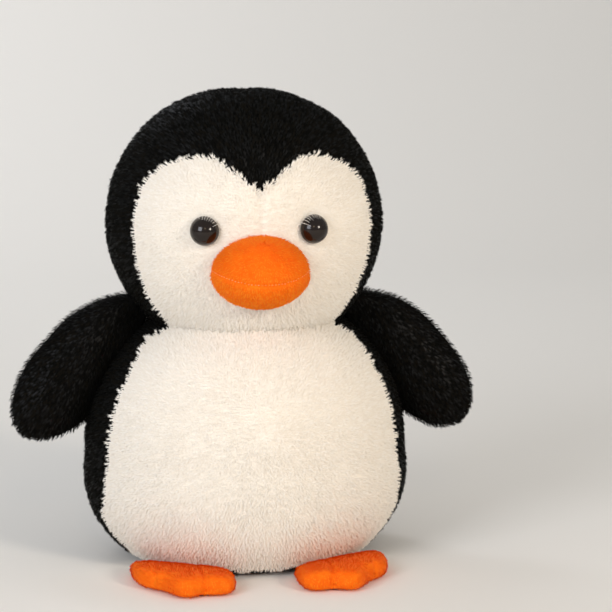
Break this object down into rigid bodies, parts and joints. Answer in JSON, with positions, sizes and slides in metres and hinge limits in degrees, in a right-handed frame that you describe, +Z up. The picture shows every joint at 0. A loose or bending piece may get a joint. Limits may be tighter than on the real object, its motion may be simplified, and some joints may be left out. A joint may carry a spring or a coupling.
{
  "type": "plush penguin",
  "caption": "Stuffed plush penguin with a turning head, swinging flippers and flexing toed feet; sits upright on a flat base.",
  "frame": {"origin": "middle of the whole penguin's footprint, on the plane it stands on", "axes": "+Z up, the penguin faces -Y, its own left flipper is on +X"},
  "size_m": [0.3022, 0.1943, 0.2998],
  "materials": {
    "black_plush": "short soft polyester pile",
    "cream_plush": "short soft polyester pile",
    "orange_velour": "brushed velour",
    "wadding": "polyester fibre filling",
    "eye_plastic": "polished moulded plastic",
    "washer_plastic": "moulded plastic"
  },
  "bodies": {
    "body": {"belly_cover": "cream_plush", "back_cover_left": "black_plush", "back_cover_right": "black_plush", "base_cover": "black_plush", "body_stuffing": "wadding"},
    "head": {"hood_left": "black_plush", "hood_right": "black_plush", "face_left": "cream_plush", "face_right": "cream_plush", "head_stuffing": "wadding", "beak_upper": "orange_velour", "beak_lower": "orange_velour", "beak_stuffing": "wadding", "eye_left": "eye_plastic", "eye_right": "eye_plastic", "eye_washer_left": "washer_plastic", "eye_washer_right": "washer_plastic"},
    "flipper_left": {"flipper_left_front": "black_plush", "flipper_left_back": "black_plush", "flipper_left_stuffing": "wadding"},
    "flipper_right": {"flipper_right_front": "black_plush", "flipper_right_back": "black_plush", "flipper_right_stuffing": "wadding"},
    "foot_left": {"foot_left_top": "orange_velour", "foot_left_sole": "orange_velour", "foot_left_stuffing": "wadding"},
    "foot_right": {"foot_right_top": "orange_velour", "foot_right_sole": "orange_velour", "foot_right_stuffing": "wadding"}
  },
  "joints": [
    {"name": "head_turn", "type": "hinge", "parent": "body", "child": "head", "pos_m": [0, 0.0175, 0.154], "axis": [0, 0, 1], "range_deg": [-20, 20], "stiffness_Nm_per_rad": 0.25},
    {"name": "flipper_left_swing", "type": "hinge", "parent": "body", "child": "flipper_left", "pos_m": [0.1035, 0.0175, 0.085], "axis": [0.3624, 0, -0.932], "range_deg": [-25, 35], "stiffness_Nm_per_rad": 0.03},
    {"name": "flipper_right_swing", "type": "hinge", "parent": "body", "child": "flipper_right", "pos_m": [-0.1035, 0.0175, 0.085], "axis": [0.3624, 0, 0.932], "range_deg": [-25, 35], "stiffness_Nm_per_rad": 0.03},
    {"name": "foot_left_lift", "type": "hinge", "parent": "body", "child": "foot_left", "pos_m": [0.04975, -0.035, 0.007], "axis": [-0.8959, -0.4443, 0], "range_deg": [0, 25], "stiffness_Nm_per_rad": 0.03},
    {"name": "foot_right_lift", "type": "hinge", "parent": "body", "child": "foot_right", "pos_m": [-0.04975, -0.035, 0.007], "axis": [-0.8959, 0.4443, 0], "range_deg": [0, 25], "stiffness_Nm_per_rad": 0.03}
  ]
}
